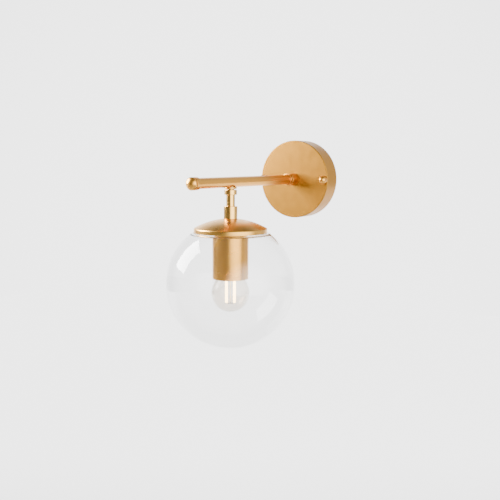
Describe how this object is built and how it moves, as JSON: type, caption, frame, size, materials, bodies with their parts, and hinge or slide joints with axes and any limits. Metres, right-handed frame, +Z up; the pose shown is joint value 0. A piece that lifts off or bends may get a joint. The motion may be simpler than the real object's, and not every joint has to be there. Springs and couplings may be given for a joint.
{
  "type": "wall sconce",
  "caption": "Wall sconce with a round canopy, a straight arm out of the wall, a hanging swivel stem, a domed cap and a clear glass globe over a screw-in bulb.",
  "frame": {"origin": "centre of the canopy's open back, in the plane of the wall", "axes": "+Z up, +Y into the wall, so the arm points along -Y; +X to the right as seen from the room"},
  "size_m": [0.15, 0.243, 0.2435],
  "materials": {
    "gold_metal": "satin gold",
    "zinc_steel": "zinc plated",
    "bare_brass": "bare",
    "holder_plastic": "moulded",
    "terminal_plastic": "moulded",
    "clear_glass": "clear blown",
    "bulb_clear_glass": "clear",
    "cap_aluminium": "rolled thread",
    "black_insulator": "glossy",
    "filament_phosphor": "phosphor coated",
    "silicone": "translucent"
  },
  "bodies": {
    "wall_mount": {"wall_bracket": "zinc_steel", "canopy_studs": "zinc_steel", "earth_screw": "bare_brass", "terminal_block": "terminal_plastic", "terminal_screws": "bare_brass", "canopy": "gold_metal", "arm_nipple": "zinc_steel", "arm_lock_nut": "zinc_steel", "arm_lock_washer": "zinc_steel", "arm_collar": "gold_metal", "arm_rear_ring": "gold_metal", "arm_tube": "gold_metal", "tube_insert": "zinc_steel", "arm_front_ring": "gold_metal", "arm_end_cap": "gold_metal", "swivel_bead": "gold_metal", "swivel_pivot": "bare_brass", "swivel_washer": "zinc_steel"},
    "lamp_head": {"swivel_shell": "gold_metal", "stem_tube": "gold_metal", "stem_sleeve": "gold_metal", "cap_nipple": "zinc_steel", "dome_cap": "gold_metal", "dome_lock_nut": "zinc_steel", "socket_cup": "gold_metal", "lampholder_cap": "holder_plastic", "lampholder_body": "holder_plastic", "screw_shell": "bare_brass", "centre_contact": "bare_brass"},
    "bulb": {"bulb_glass": "bulb_clear_glass", "bulb_screw_cap": "cap_aluminium", "bulb_insulator": "black_insulator", "bulb_tip_contact": "zinc_steel", "bulb_glass_stem": "bulb_clear_glass", "bulb_filaments": "filament_phosphor", "bulb_wires": "zinc_steel"},
    "gasket": {"globe_gasket": "silicone"},
    "globe": {"globe": "clear_glass"},
    "cap_nut_left": {"cap_nut_left": "gold_metal"},
    "cap_nut_right": {"cap_nut_right": "gold_metal"}
  },
  "joints": [
    {"name": "head_swivel", "type": "hinge", "parent": "wall_mount", "child": "lamp_head", "pos_m": [0, -0.166, -0.01], "axis": [0, 0, 1], "range_deg": [-165, 165]},
    {"name": "bulb_turn", "type": "hinge", "parent": "lamp_head", "child": "bulb", "pos_m": [0, -0.166, -0.09], "axis": [0, 0, -1], "range_deg": [0, 1080]},
    {"name": "globe_drop", "type": "slide", "parent": "lamp_head", "child": "gasket", "axis": [0, 0, -1], "range_m": [0, 0.0052]},
    {"name": "globe_turn", "type": "hinge", "parent": "gasket", "child": "globe", "pos_m": [0, -0.166, -0.057], "axis": [0, 0, -1], "range_deg": [0, 450]},
    {"name": "cap_nut_left_turn", "type": "hinge", "parent": "wall_mount", "child": "cap_nut_left", "pos_m": [-0.045, -0.029, 0], "axis": [0, -1, 0], "continuous": true},
    {"name": "cap_nut_right_turn", "type": "hinge", "parent": "wall_mount", "child": "cap_nut_right", "pos_m": [0.045, -0.029, 0], "axis": [0, -1, 0], "continuous": true}
  ],
  "couplings": [
    {"joint": "globe_drop", "follows": "globe_turn", "m_per_rad": 0.0006366}
  ]
}
